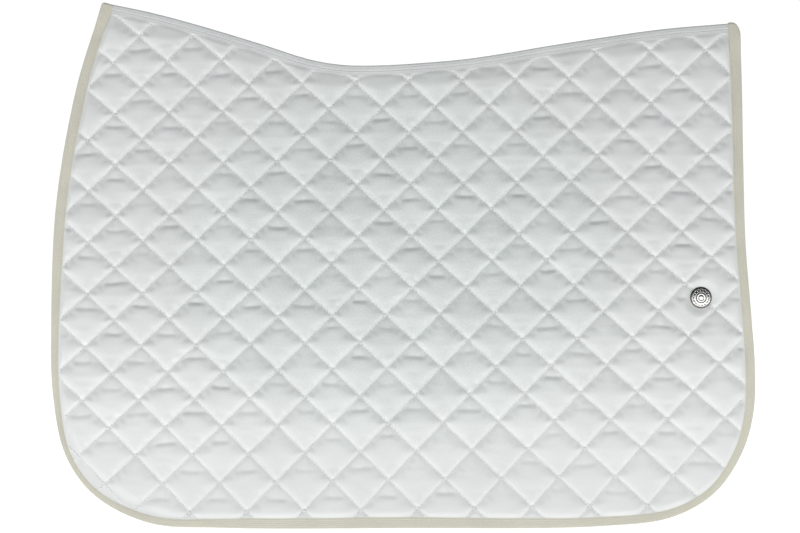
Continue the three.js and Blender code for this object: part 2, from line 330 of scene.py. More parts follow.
def blown_cover(side, divisions):
    """A cloth simulation of the cover: a sheet held along every seam, a little larger than its
    place, is blown outwards by the wadding and sags under its weight. Its height at each point of
    the quilt's lattice, about 1 at the crowns."""
    x, z, on_seam = quilt_lattice(divisions)
    middle = divisions // 2
    centre_x = x[middle::divisions, middle::divisions]
    centre_z = z[middle::divisions, middle::divisions]
    reach = 1.1 * HALF_WIDTH
    wanted = within_pad(centre_x, centre_z, -reach, -reach)
    wanted = wanted.repeat(divisions, axis=0).repeat(divisions, axis=1)
    rows, columns = x.shape
    faces = quads(rows, columns).reshape(rows - 1, columns - 1, 4)[wanted]
    used, faces = np.unique(faces, return_inverse=True)
    grid_row, grid_column = np.divmod(used, columns)
    rise = 0.25 * (1 + 0.5 * random_at(grid_row, grid_column, 21 + side)) * ~on_seam.ravel()[used]
    points = np.stack([x.ravel()[used], -rise, z.ravel()[used]], axis=1) * SOLVER_SCALE
    sheet = new_object("blown_cover", points, faces.reshape(-1, 4), [])
    held = sheet.vertex_groups.new(name="held")
    held.add(np.flatnonzero(on_seam.ravel()[used]).tolist(), 1, "REPLACE")
    cloth = sheet.modifiers.new("cloth", "CLOTH")
    for name, value in CLOTH.items():
        setattr(cloth.settings, name, value)
    cloth.settings.vertex_group_mass = held.name
    cloth.settings.effector_weights.gravity = CLOTH_WEIGHT
    cloth.collision_settings.use_collision = False
    for step in range(1, SOLVER_STEPS + 1):
        bpy.context.scene.frame_set(step)
    settled = sheet.evaluated_get(bpy.context.evaluated_depsgraph_get()).data
    places = np.empty(len(settled.vertices) * 3)
    settled.vertices.foreach_get("co", places)
    height = np.zeros(x.size)
    height[used] = -places[1::3] / (SOLVER_SCALE * MM)
    bpy.data.objects.remove(sheet)
    bpy.context.scene.frame_set(1)
    height = height.reshape(x.shape)
    crowns = height[middle::divisions, middle::divisions]
    return height / crowns[crowns > 0.5 * crowns.max()].mean()


def height_between(lattice, u, v):
    """The height of a blown cover between its lattice's points, with a sharp fold at each seam."""
    divisions = (lattice.shape[1] - 1) // (LAST_DIAMONDS[0] - FIRST_DIAMONDS[0])
    across, weights_across = cubic_steps(u, FIRST_DIAMONDS[0], LAST_DIAMONDS[0], divisions)
    down, weights_down = cubic_steps(v, FIRST_DIAMONDS[1], LAST_DIAMONDS[1], divisions)
    total = 0
    for column, by_column in zip(across, weights_across):
        for row, by_row in zip(down, weights_down):
            total = total + lattice[row, column] * by_column * by_row
    return total


def cubic_steps(value, first, last, divisions):
    """The four lattice lines about each value and their shares. Beyond a seam, where the height is
    nought, the surface is carried on as its mirror image through the seam."""
    value = np.clip(value, first, last - 1e-6)
    diamond = np.floor(value).astype(int)
    along = (value - diamond) * divisions
    step = np.minimum(along.astype(int), divisions - 1)
    t = along - step
    shares = [
        (-t + 2 * t**2 - t**3) / 2, (2 - 5 * t**2 + 3 * t**3) / 2,
        (t + 4 * t**2 - 3 * t**3) / 2, (t**3 - t**2) / 2,
    ]
    lines = []
    for k, offset in enumerate((-1, 0, 1, 2)):
        line = step + offset
        beyond = (line < 0) | (line > divisions)
        line = np.where(line < 0, -line, np.where(line > divisions, 2 * divisions - line, line))
        shares[k] = np.where(beyond, -shares[k], shares[k])
        lines.append((diamond - first) * divisions + line)
    return lines, shares


def fullness(u, v, side):
    """How full the puffs are. The wadding holds their crowns nearly flat, and they hang over their
    lower seams, so that they stand up steeply from those and gently from the upper ones."""
    from_left, from_right = u - np.floor(u), v - np.floor(v)
    if side not in blown:
        return pillow(from_left) * pillow(from_right)
    height = height_between(blown[side], u, v)
    left = 1 - np.clip(height, 0, HIGHEST_PUFF) / HIGHEST_PUFF
    dome, wall = 1 - left**1.7, 1 - left**9
    lower = smooth(0.2, 0.75, (from_left + from_right) / 2)     # 0 at the top corner, 1 low down
    return dome + OVERHANG * lower * (wall - dome) + 0.5 * np.minimum(height, 0)


def gather(below, slopes):
    """How deep a gather is across its length, from 0 to 1, so far below its deepest line."""
    return np.exp(-np.abs(below) / np.where(below < 0, *slopes))


def puff(x, z, side):
    """How full the quilting is at each point, from 0 at a seam to about 1 at a crown, and the
    depth in millimetres of the gathers in it."""
    across, down = quilt_steps(x, z)
    u, v = (across + down) / 2, (down - across) / 2
    i, j = np.floor(u), np.floor(v)

    def chance(seed):
        return random_at(i, j, seed + side)

    lower = smooth(*LOW_PUFFS, z)
    full = fullness(u, v, side) * (0.92 + 0.16 * chance(3)) * (1 - 0.36 * lower)
    # How far each point is beside its diamond's middle, and how far below its top corner
    sideways = (across - (i - j)) * HALF_WIDTH * 1.04
    below_top = (down - (i + j)) * HALF_HEIGHT * 1.06
    strength = between(STRENGTHS, smooth(0.1, 0.95, chance(11)))
    shift = between(SHIFTS, chance(13))
    place = between(PLACES, chance(12)) + between(TILTS, chance(17)) * sideways
    place = place - between(BOWS, chance(18)) * sideways**2
    along = np.exp(-(((sideways - shift) / between(REACHES, chance(14))) ** 4))
    dent = CREASE * (1 - 0.4 * lower) * strength * gather(below_top - place, SLOPES) * along
    low_strength = LOW_CREASE * smooth(0.4, 1, chance(16))
    along = np.exp(-(((sideways + shift) / LOW_REACH) ** 4))
    low_place = between(LOW_PLACES, chance(15))
    dent = dent + low_strength * gather(below_top - low_place, LOW_SLOPES) * along
    return full, dent * smooth(0.05, 0.4, full)


def panel_depths(x, z, side):
    """How far out from the middle plane the lining and the cover are at each point."""
    point, _ = nearest_on(side_edge, x, z)
    webbing = binding_widths(len(side_edge))[point]
    from_side, from_top = depth_from(side_edge, x, z), depth_from(top_edge, x, z)
    full, dent = puff(x, z, side)
    wrinkle = sum(
        height * noise(x * drawn, z + slant * x, size, seed + side)
        for height, drawn, slant, size, seed in WRINKLES
    )
    # The quilting is pressed flat beside the binding, over a wider strip round the front corner
    from_corner = np.hypot(x - FLAT_CORNER[0], z - FLAT_CORNER[1])
    flat = np.exp(-((from_corner / FLAT_REACH) ** 2)) * (side == NEAR)
    pressed = np.maximum(
        1 - smooth(webbing - 0.4 + 6 * flat, webbing + 4 + 13 * flat, from_side),
        1 - smooth(UNDER_TAPE_WIDTH - 0.6, UNDER_TAPE_WIDTH + 2.2, from_top),
    )
    full = full * (0.6 + 0.4 * smooth(UNDER_TAPE_WIDTH, 2.6 * UNDER_TAPE_WIDTH, from_top))
    if side == NEAR:
        from_button = np.hypot(x - BUTTON.x, z - BUTTON.z)
        full = full * (1 - 0.75 * (1 - smooth(BUTTON_RADIUS - 2, BUTTON_RADIUS + 9, from_button)))
        dent = dent * smooth(BUTTON_RADIUS, BUTTON_RADIUS + 12, from_button)
    out = SEAM_OUT + (PANEL_OUT - SEAM_OUT) * full - dent + wrinkle * np.clip(full, 0.1, 1)
    inner = SEAM_IN - (SEAM_IN - PANEL_IN) * np.clip(full, 0, 1)
    return inner * (1 - pressed) + EDGE_IN * pressed, out * (1 - pressed) + EDGE_OUT * pressed


# ---- making meshes ----------------------------------------------------

def new_object(name, points, faces, materials, face_materials=None, uv=None):
    """An object from points in millimetres, smooth all over, with its cloth coordinates in mm."""
    mesh = bpy.data.meshes.new(name)
    if isinstance(faces, np.ndarray):
        mesh.vertices.add(len(points))
        mesh.vertices.foreach_set("co", (np.asarray(points, np.float32) * MM).ravel())
        mesh.loops.add(faces.size)
        mesh.loops.foreach_set("vertex_index", faces.ravel().astype(np.int32))
        mesh.polygons.add(len(faces))
        mesh.polygons.foreach_set("loop_start", np.arange(0, faces.size, 4, dtype=np.int32))
        mesh.update(calc_edges=True)
    else:
        mesh.from_pydata(np.asarray(points) * MM, [], faces)
    mesh.polygons.foreach_set("use_smooth", np.ones(len(mesh.polygons), bool))
    for material in materials:
        mesh.materials.append(material)
    if face_materials is not None:
        mesh.polygons.foreach_set("material_index", np.asarray(face_materials, np.int32))
    if uv is not None:
        layer = mesh.uv_layers.new(name="cloth")
        corners = np.empty(len(mesh.loops), np.int32)
        mesh.loops.foreach_get("vertex_index", corners)
        layer.data.foreach_set("uv", np.asarray(uv, np.float32)[corners].ravel())
    mesh.update()
    made = bpy.data.objects.new(name, mesh)
    bpy.context.scene.collection.objects.link(made)
    return made


def quads(rows, columns, close_rows=False, close_columns=False):
    """The faces of a grid whose points are stored row by row."""
    i = np.arange(rows if close_rows else rows - 1)[:, None]
    j = np.arange(columns if close_columns else columns - 1)[None]
    k, m = (i + 1) % rows, (j + 1) % columns
    corners = [i * columns + j, i * columns + m, k * columns + m, k * columns + j]
    return np.stack(np.broadcast_arrays(*corners), axis=-1).reshape(-1, 4)


def lattice_grid(divisions):
    """Points along the seams and between them, closer together beside each seam."""
    share = np.arange(divisions) / divisions
    share = 0.5 * share + 0.25 * (1 - np.cos(math.pi * share))
    u = (np.arange(FIRST_DIAMONDS[0], LAST_DIAMONDS[0])[:, None] + share).ravel()
    v = (np.arange(FIRST_DIAMONDS[1], LAST_DIAMONDS[1])[:, None] + share).ravel()
    gu, gv = np.meshgrid(u, v)
    return quilt_place(gu - gv, gu + gv)


def panel_piece(name, side):
    """One quilted panel: its cover, its lining and the edge between them, as one closed form."""
    gx, gz = lattice_grid(PANEL_DIVISIONS[side])
    inside = within_pad(gx, gz, 3, 3.8)
    keep = inside[:-1, :-1] & inside[1:, :-1] & inside[:-1, 1:] & inside[1:, 1:]
    faces = quads(*gx.shape).reshape(gx.shape[0] - 1, gx.shape[1] - 1, 4)[keep]
    used = np.unique(faces)
    new = np.full(gx.size, -1)
    new[used] = np.arange(len(used))
    faces = new[faces]
    px, pz = gx.ravel()[used], gz.ravel()[used]
    inner, outer = panel_depths(px, pz, side)
    count = len(used)
    points = np.concatenate([
        np.stack([px, side * outer, pz], axis=1), np.stack([px, side * inner, pz], axis=1),
    ])
    # An edge that only one face has is on the rim
    sides = np.concatenate([faces[:, [k, (k + 1) % 4]] for k in range(4)])
    code = sides[:, 0] * count + sides[:, 1]
    back = sides[:, 1] * count + sides[:, 0]
    rim = sides[~np.isin(code, back)]
    walls = np.stack([rim[:, 1], rim[:, 0], rim[:, 0] + count, rim[:, 1] + count], axis=1)
    everything = [faces, faces[:, ::-1] + count, walls]
    materials = np.concatenate([np.full(len(f), k) for k, f in enumerate(everything)])
    piece = new_object(
        name, points, np.concatenate(everything), [COTTON, LINING, WADDING],
        materials, np.tile(np.stack([px, pz], axis=1), (2, 1)),
    )
    return outward_normals(piece)


def stitches(name, places, along, out, size, material):
    """Short raised threads. Each has a middle, a direction and a way it faces, and all have one
    length, width and height."""
    places, along, out = (np.asarray(a, float) for a in (places, along, out))
    along /= np.linalg.norm(along, axis=1, keepdims=True)
    across = np.cross(along, out)
    length, width, height = size
    points = []
    rings = ((0, 0), (0.25, 1), (0.75, 1), (1, 0))
    section = ((-0.5, 0), (-0.3, 0.8), (0.3, 0.8), (0.5, 0))
    for share, scale in rings:
        for wide, high in section:
            scaled = 0.35 + 0.65 * scale
            points.append(
                places + along * (share - 0.5) * length + across * wide * width * scaled
                + out * (high * scale - 0.35) * height
            )
    points = np.stack(points, axis=1)
    each = quads(len(rings), len(section), close_columns=True).tolist()
    each += [[3, 2, 1, 0], [len(section) * (len(rings) - 1) + k for k in range(4)]]
    per = points.shape[1]
    faces = (np.array(each)[None] + np.arange(len(places))[:, None, None] * per).reshape(-1, 4)
    return new_object(name, points.reshape(-1, 3), faces.tolist(), [material])


def sweep(name, path, inward, outward, section, material):
    """A closed section of (out, depth), one for each point of the path, carried along it."""
    section = np.broadcast_to(section, (len(path), *np.shape(section)[-2:]))
    points = (
        path[:, None] + outward[:, None] * section[:, :, :1] + inward[:, None] * section[:, :, 1:]
    )
    rows, columns = points.shape[:2]
    faces = quads(rows, columns, close_columns=True).tolist()
    faces.append(list(range(columns))[::-1])
    faces.append([(rows - 1) * columns + k for k in range(columns)])
    along = np.concatenate([[0], np.cumsum(np.linalg.norm(np.diff(path, axis=0), axis=1))])
    ring = np.linalg.norm(np.diff(section[0], axis=0, append=section[0][:1]), axis=1)
    round_it = np.concatenate([[0], np.cumsum(ring)[:-1]])
    uv = np.stack(np.meshgrid(along, round_it, indexing="ij"), axis=-1).reshape(-1, 2)
    return new_object(name, points.reshape(-1, 3), faces, [material], uv=uv)


def outward_normals(piece):
    """Turns a closed piece's faces outwards."""
    mesh = piece.data
    mesh.calc_loop_triangles()
    corners = np.empty(len(mesh.loop_triangles) * 3, np.int32)
    mesh.loop_triangles.foreach_get("vertices", corners)
    points = np.empty(len(mesh.vertices) * 3)
    mesh.vertices.foreach_get("co", points)
    a, b, c = points.reshape(-1, 3)[corners.reshape(-1, 3)].transpose(1, 0, 2)
    if np.einsum("ij,ij->i", a, np.cross(b, c)).sum() < 0:
        mesh.flip_normals()
    return piece


# ---- materials --------------------------------------------------------

class Nodes:
    """A material's node tree, with short ways to add and join nodes."""

    def __init__(self, name):
        self.material = bpy.data.materials.new(name)
        self.material.use_nodes = True
        self.tree = self.material.node_tree
        self.shader = self.tree.nodes["Principled BSDF"]

    def add(self, kind, inputs=None, **settings):
        node = self.tree.nodes.new(kind)
        for key, value in settings.items():
            setattr(node, key, value)
        for key, value in (inputs or {}).items():
            self.put(node.inputs[key], value)
        return node

    def put(self, socket, value):
        if isinstance(value, bpy.types.NodeSocket):
            self.tree.links.new(value, socket)
        else:
            socket.default_value = value

    def math(self, operation, *values):
        node = self.add("ShaderNodeMath", operation=operation)
        for socket, value in zip(node.inputs, values):
            self.put(socket, value)
        return node.outputs[0]

    def mix(self, factor, one, other):
        node = self.add("ShaderNodeMix", data_type="RGBA")
        for socket, value in zip((0, 6, 7), (factor, one, other)):
            self.put(node.inputs[socket], value)
        return node.outputs[2]

    def noise(self, place, scale, detail, roughness=0.5):
        settings = {"Vector": place, "Scale": scale, "Detail": detail, "Roughness": roughness}
        return self.add("ShaderNodeTexNoise", settings).outputs[0]

    def bump(self, height, strength, distance):
        """Lets a height stand out, at most so many millimetres."""
        made = self.add(
            "ShaderNodeBump", {"Height": height, "Strength": strength, "Distance": distance * MM},
        )
        self.put(self.shader.inputs["Normal"], made.outputs[0])


def cloth_material(name, colour, thread=0.9, weave=0.12, mottle=0.05, ribs=0.0, rib_pitch=2.0,
                   roughness=0.9, sheen=0.25, twill=False, outer=None):
    """Woven cloth: threads both ways, or slanting ribs of twill, with uneven colour and slubs."""
    n = Nodes(name)
    uv = n.add("ShaderNodeUVMap", uv_map="cloth").outputs[0]
    parts = n.add("ShaderNodeSeparateXYZ", {0: uv})
    across, up = parts.outputs[0], parts.outputs[1]
    if twill:
        slanted = n.math("ADD", across, up)
        warp = n.math("SINE", n.math("MULTIPLY", slanted, 2 * math.pi / thread))
        weft = n.math("SINE", n.math("MULTIPLY", up, 2 * math.pi / (thread * 0.7)))
    else:
        warp = n.math("SINE", n.math("MULTIPLY", across, 2 * math.pi / thread))
        weft = n.math("SINE", n.math("MULTIPLY", up, 2 * math.pi / thread))
    woven = n.math("MULTIPLY", warp, weft)
    slubs = n.noise(uv, 0.55, 5, 0.7)
    fine = n.noise(uv, 0.95, 2, 0.6)
    broad = n.noise(uv, 0.02, 3)
    tone = n.math("ADD", n.math("MULTIPLY", slubs, 0.6), n.math("MULTIPLY", broad, 0.4))
    dark = [c * (1 - mottle * 2.2) for c in colour]
    light = [min(1, c * (1 + mottle)) for c in colour]
    spread = n.add("ShaderNodeMapRange", {0: tone, 1: 0.38, 2: 0.62})
    tinted = n.mix(spread.outputs[0], (*dark, 1), (*light, 1))
    if outer:
        # Painted light: towards the pad's edges the cloth is painted whiter and a little warmer,
        # standing in for the brighter light there
        apart = n.add("ShaderNodeMapping", {0: uv, 1: (-0.14, 0.72, 0), 3: (0.0034, 0.0042, 1)})
        length = n.add("ShaderNodeVectorMath", {0: apart.outputs[0]}, operation="LENGTH")
        far = n.add("ShaderNodeMapRange", {0: length.outputs["Value"], 1: 0.35, 2: 1.15})
        painted_light_tint = n.mix(spread.outputs[0], (*[c * 0.97 for c in outer], 1), (*outer, 1))
        tinted = n.mix(far.outputs[0], tinted, painted_light_tint)
    n.put(n.shader.inputs["Base Color"], tinted)
    height = n.math("ADD", n.math("MULTIPLY", woven, weave), n.math("MULTIPLY", fine, 0.5))
    if ribs:
        rib = n.math("SINE", n.math("MULTIPLY", up, 2 * math.pi / rib_pitch))
        height = n.math("ADD", height, n.math("MULTIPLY", rib, ribs))
    n.bump(height, 0.5, 0.4)
    rough = n.add("ShaderNodeMapRange", {0: slubs, 3: roughness - 0.06, 4: min(1, roughness + 0.06)})
    n.put(n.shader.inputs["Roughness"], rough.outputs[0])
    n.shader.inputs["Sheen Weight"].default_value = sheen
    n.shader.inputs["Sheen Roughness"].default_value = 0.5
    n.shader.inputs["Specular IOR Level"].default_value = 0.2
    return n.material


def thread_material(name, colour):
    """Twisted sewing thread with a slight shine."""
    n = Nodes(name)
    place = n.add("ShaderNodeTexCoord").outputs["Object"]
    twist = n.noise(place, 900, 2)
    dark = [c * 0.9 for c in colour]
    n.put(n.shader.inputs["Base Color"], n.mix(twist, (*dark, 1), (*colour, 1)))
    n.bump(twist, 0.3, 0.1)
    rough = n.add("ShaderNodeMapRange", {0: twist, 3: 0.5, 4: 0.7})
    n.put(n.shader.inputs["Roughness"], rough.outputs[0])
    n.shader.inputs["Sheen Weight"].default_value = 0.15
    return n.material


def metal_material(name, colour, roughness):
    """Plated metal with fine scratches and handling marks."""
    n = Nodes(name)
    place = n.add("ShaderNodeTexCoord").outputs["Object"]
    marks = n.noise(place, 260, 6, 0.7)
    scratches = n.noise(place, 1400, 2)
    dull = [c * 0.86 for c in colour]
    n.put(n.shader.inputs["Base Color"], n.mix(marks, (*dull, 1), (*colour, 1)))
    rough = n.add("ShaderNodeMapRange", {0: marks, 1: 0.3, 2: 0.7, 3: roughness, 4: roughness + 0.12})
    n.put(n.shader.inputs["Roughness"], rough.outputs[0])
    n.bump(scratches, 0.08, 0.05)
    n.shader.inputs["Metallic"].default_value = 1
    return n.material


# The cotton's outer colour is painted light: whiter cloth towards the pad's edges in place of
# brighter light there.
COTTON = cloth_material("cotton", (0.765, 0.805, 0.79), outer=(0.83, 0.843, 0.838))
LINING = cloth_material("lining_cotton", (0.80, 0.815, 0.80), thread=1.1)
WADDING = cloth_material("wadding", (0.82, 0.82, 0.79), weave=0.02, mottle=0.08)
TAPE = cloth_material("spine_twill", (0.72, 0.74, 0.735), thread=1.5, weave=0.2, twill=True)
WEBBING = cloth_material(
    "edge_webbing", (0.687, 0.674, 0.57), thread=1.1, weave=0.15, mottle=0.04,
    ribs=0.35, rib_pitch=2.1,
)
THREAD = thread_material("white_thread", (0.98, 0.985, 0.98))
WEBBING_THREAD = thread_material("edge_thread", (0.66, 0.64, 0.54))
NICKEL = metal_material("nickel", (0.92, 0.92, 0.915), 0.05)
# Blackened nickel for the button's band and grooves; on its rim the same dark colour is a painted
# dark reflection.
BLACKENED_NICKEL_AND_PAINTED_REFLECTION = metal_material("blackened_nickel_and_painted_reflection", (0.1, 0.092, 0.075), 0.3)


# ---- the pad ----------------------------------------------------------

def bends(piece):
    """Bakes a piece's placing into its mesh; the piece is not fastened to the spine or a flap."""
    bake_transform(piece)
    return piece


def make_panels():
    for side in (NEAR, OFF):
        name = NAMES[side]
        piece = panel_piece(f"{name}_quilted_panel", side)
        layers = ("cover", "batting", "lining")
        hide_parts(*(f"{name}_{part}{end}" for part in layers for end in ("", "_upper")))
        bends(piece)


def seam_places(spacing):
    """Middles and directions of the quilting stitches, along both families of seams."""
    places, directions = [], []
    for family in (0, 1):
        for line in range(-14, 24):
            other = np.arange(-24, 24, 0.02)
            same = np.full_like(other, line)
            u, v = (same, other) if family == 0 else (other, same)
            x, z = quilt_place(u - v, u + v)
            route = evenly(np.stack([x, z], axis=1), spacing)
            places.append(route)
            directions.append(np.gradient(route, axis=0))
    return np.concatenate(places), np.concatenate(directions)


def make_quilting():
    places, directions = seam_places(QUILTING_PITCH)
    x, z = places.T
    # The rows stop a little short of the webbing, the tape and the button
    point, from_side = nearest_on(side_edge, x, z)
    inside = from_side > binding_widths(len(side_edge))[point] + 1.2
    inside &= depth_from(top_edge, x, z) > UNDER_TAPE_WIDTH + 2
    inside &= np.hypot(x - BUTTON.x, z - BUTTON.z) > BUTTON_RADIUS + 1
    x, z, directions = x[inside], z[inside], directions[inside]
    for side in (NEAR, OFF):
        inner, outer = panel_depths(x, z, side)
        faces = (
            ("cover", outer, side, SEAM_OUT, EDGE_OUT), ("lining", inner, -side, SEAM_IN, EDGE_IN),
        )
        for face, depth, way, seam, edge in faces:
            # The thread stands proud in the valleys and lies flat where the cloth is pressed
            lift = 0.75 - 0.5 * np.clip((depth - seam) / (edge - seam), 0, 1)
            middle = np.stack([x, side * depth + way * lift, z], axis=1)
            along = np.stack([directions[:, 0], np.zeros(len(x)), directions[:, 1]], axis=1)
            facing = np.tile([0, way, 0], (len(x), 1))
            piece = stitches(
                f"{NAMES[side]}_{face}_quilting_stitches", middle, along, facing,
                QUILTING_STITCH, THREAD,
            )
            bends(piece)


def rib_rise(width, depth):
    """How far the spine tape's face stands out, so far below the fold."""
    rib = RIB_HEIGHT * math.sin((width - depth) / RIB_PITCH * 2 * math.pi)
    return rib - GROOVE_DEPTH * math.exp(-(((depth - GROOVE_AT) / 0.5) ** 2))


def fold_section(low, high, top, width, cloth, corner, ribs=False):
    """Cloth folded over an edge, its outer face and then its inner one, as (out, depth)."""
    def layer(left, right, start, radius, ribs=False):
        turn = np.linspace(0, math.pi / 2, 6)
        left_in, right_in, down = left + radius, right - radius, start + radius
        first = [(left_in - radius * math.cos(t), down - radius * math.sin(t)) for t in turn]
        second = [(right_in + radius * math.sin(t), down - radius * math.cos(t)) for t in turn]
        straight = np.linspace(width - SHARP, start + radius, 25 if ribs else 5)[:-1]
        straight = np.concatenate([[width], straight])
        rise = [rib_rise(width, d) if ribs else 0 for d in straight]
        leg = list(zip(straight, rise))
        rising = [(left - r, d) for d, r in leg]
        return rising + first + second + [(right + r, d) for d, r in leg[::-1]]

    outside = layer(low, high, top, corner, ribs)
    inside = layer(low + cloth, high - cloth, top + cloth, corner - cloth)
    return np.array(outside + inside[::-1])


def edge_path(line, side, out=0.0):
    """An edge line as points in space, with its inward and outward directions."""
    inward = inward_of(line)
    path = np.stack([line[:, 0], np.full(len(line), side * out), line[:, 1]], axis=1)
    inward = np.stack([inward[:, 0], np.zeros(len(line)), inward[:, 1]], axis=1)
    outward = np.tile([0.0, side, 0.0], (len(line), 1))
    return path, inward, outward


def binding_widths(count):
    """The webbing's visible width at so many equal steps along its edge."""
    share = np.linspace(0, 1, count) * (len(BINDING_WIDTHS) - 1)
    left = np.minimum(share.astype(int), len(BINDING_WIDTHS) - 2)
    low, high = np.array(BINDING_WIDTHS)[left], np.array(BINDING_WIDTHS)[left + 1]
    return low + (high - low) * smooth(0, 1, share - left)


def make_bindings():
    line = side_edge[2:-2]
    for side in (NEAR, OFF):
        name = NAMES[side]
        path, inward, outward = edge_path(line, side)
        sections = np.stack([
            fold_section(BINDING_IN, BINDING_OUT, 0, width, 0.8, BINDING_CORNER)
            for width in binding_widths(len(line))
        ])
        piece = sweep(f"{name}_edge_webbing", path, inward, outward, sections, WEBBING)
        outward_normals(piece)
        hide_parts(f"{name}_binding")
        bends(piece)
        row = evenly(line, EDGE_PITCH)
        path, inward, outward = edge_path(row, side, BINDING_OUT)
        across = binding_widths(len(row)) - EDGE_STITCHES_IN
        piece = stitches(
            f"{name}_edge_stitches", path + inward * across[:, None], np.gradient(path, axis=0),
            outward, EDGE_STITCH, WEBBING_THREAD,
        )
        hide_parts(f"{name}_binding_stitching")
        bends(piece)


def rounded(size, left):
    """How far a quarter ellipse of (across, along) stands back, so far from its end."""
    share = np.clip((size[1] - left) / size[1], 0, 1)
    return size[0] * (1 - np.sqrt(1 - share**2))


def make_tip(name, node, leg, into, rise, corner, widths):
    """The webbing where it crosses over the fold at one end of the spine: a folded block that
    grows out of both side webbings, follows the leg up the edge and closes round at its top."""
    up = (leg[-1] - leg[-2]) / np.linalg.norm(leg[-1] - leg[-2])
    height = rise * np.sin(np.linspace(0, math.pi / 2, 19))[1:]
    line = np.vstack([leg, leg[-1] + height[:, None] * up])
    left = np.concatenate([np.full(len(leg), rise), rise - height])
    share = np.concatenate([np.linspace(0, 1, len(leg)), np.ones(len(height))])
    thick = BINDING_OUT - 0.1 + (TIP_OUT - BINDING_OUT + 0.1) * smooth(0, 1, share)
    thick = thick - rounded((TIP_FOLD, TIP_FOLD), left)
    start = 0.1 * (1 - share) + rounded(corner, left)
    width = widths[0] + (widths[1] - widths[0]) * share
    end = width - 0.1 * (1 - share) - rounded((1.2, 1.2), left)
    turn = np.linspace(0, math.pi / 2, 5)
    sections = []
    for out, near, far in zip(thick, start, end):
        r = min(BINDING_CORNER, (far - near) / 2.2, out / 1.1)
        ring = [(out - r + r * math.sin(t), near + r - r * math.cos(t)) for t in turn]
        ring += [(out - r + r * math.cos(t), far - r + r * math.sin(t)) for t in turn]
        ring += [(-o, d) for o, d in ring[::-1]]
        sections.append(ring)
    path = np.stack([line[:, 0], np.zeros(len(line)), line[:, 1]], axis=1)
    inward = np.tile([into[0], 0, into[1]], (len(path), 1))
    outward = np.tile([0.0, -1, 0], (len(path), 1))
    piece = outward_normals(sweep(name, path, inward, outward, np.array(sections), WEBBING))
    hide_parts(node)
    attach(piece, "spine")


def make_tips():
    inward = inward_of(side_edge)
    make_tip(
        "withers_tip_webbing", "withers_binding", side_edge[-11:], inward[-1],
        rise=10.8, corner=(3, 3), widths=(BINDING_WIDTHS[-1], 10.8),
    )
    make_tip(
        "rear_tip_webbing", "rear_binding", side_edge[10::-1], inward[0],
        rise=12.3, corner=(8, 13), widths=(BINDING_WIDTHS[0], 11.4),
    )


def make_spine():
    line = lengthened(top_edge, 3, 3)
    path, inward, _ = edge_path(line, NEAR)
    outward = np.tile([0.0, -1.0, 0.0], (len(path), 1))
    for node, (half, top, width, cloth) in TAPES.items():
        corner = min(1.6, half * 0.9)
        section = fold_section(-half, half, top, width, cloth, corner, ribs=node == "spine_tape")
        piece = outward_normals(sweep(node + "_cloth", path, inward, outward, section, TAPE))
        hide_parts(node)
        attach(piece, "spine")
    for side in (NEAR, OFF):
        for row, (out, depth) in SPINE_ROWS.items():
            even = evenly(line, SPINE_PITCH)
            path, inward, outward = edge_path(even, side, out)
            places = path + inward * depth
            piece = stitches(
                f"spine_{NAMES[side]}_{row}_stitches", places, np.gradient(path, axis=0), outward,
                SPINE_STITCH, THREAD,
            )
            if row == "upper":
                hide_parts(f"spine_{NAMES[side]}_stitching")
            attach(piece, "spine")


def turned(name, profile, steps, node, dark):
    """A piece of the button turned about its own axis, from (radius, out from the seat). Dark lists
    the stretches of the outline that are dark: blackened nickel, and on the rim a painted dark
    reflection."""
    profile = np.array(profile, float)
    angle = np.linspace(0, 2 * math.pi, steps, endpoint=False)
    radius, out = profile[:, 0][None], profile[:, 1][None]
    seat = button_high.y / MM
    points = np.stack([
        BUTTON.x + radius * np.cos(angle)[:, None],
        np.broadcast_to(seat - out, (steps, len(profile))),
        BUTTON.z + radius * np.sin(angle)[:, None],
    ], axis=-1).reshape(-1, 3)
    faces = quads(steps, len(profile), close_rows=True).tolist()
    which = np.zeros((steps, len(profile) - 1), int)
    for stretch in dark:
        which[:, stretch] = 1
    made = outward_normals(new_object(name, points, faces, [NICKEL, BLACKENED_NICKEL_AND_PAINTED_REFLECTION], which.ravel()))
    merge_doubles(made)
    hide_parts(node)
    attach(made, "near_flap")


def merge_doubles(piece):
    mesh = bmesh.new()
    mesh.from_mesh(piece.data)
    bmesh.ops.remove_doubles(mesh, verts=mesh.verts, dist=1e-6)
    mesh.to_mesh(piece.data)
    mesh.free()


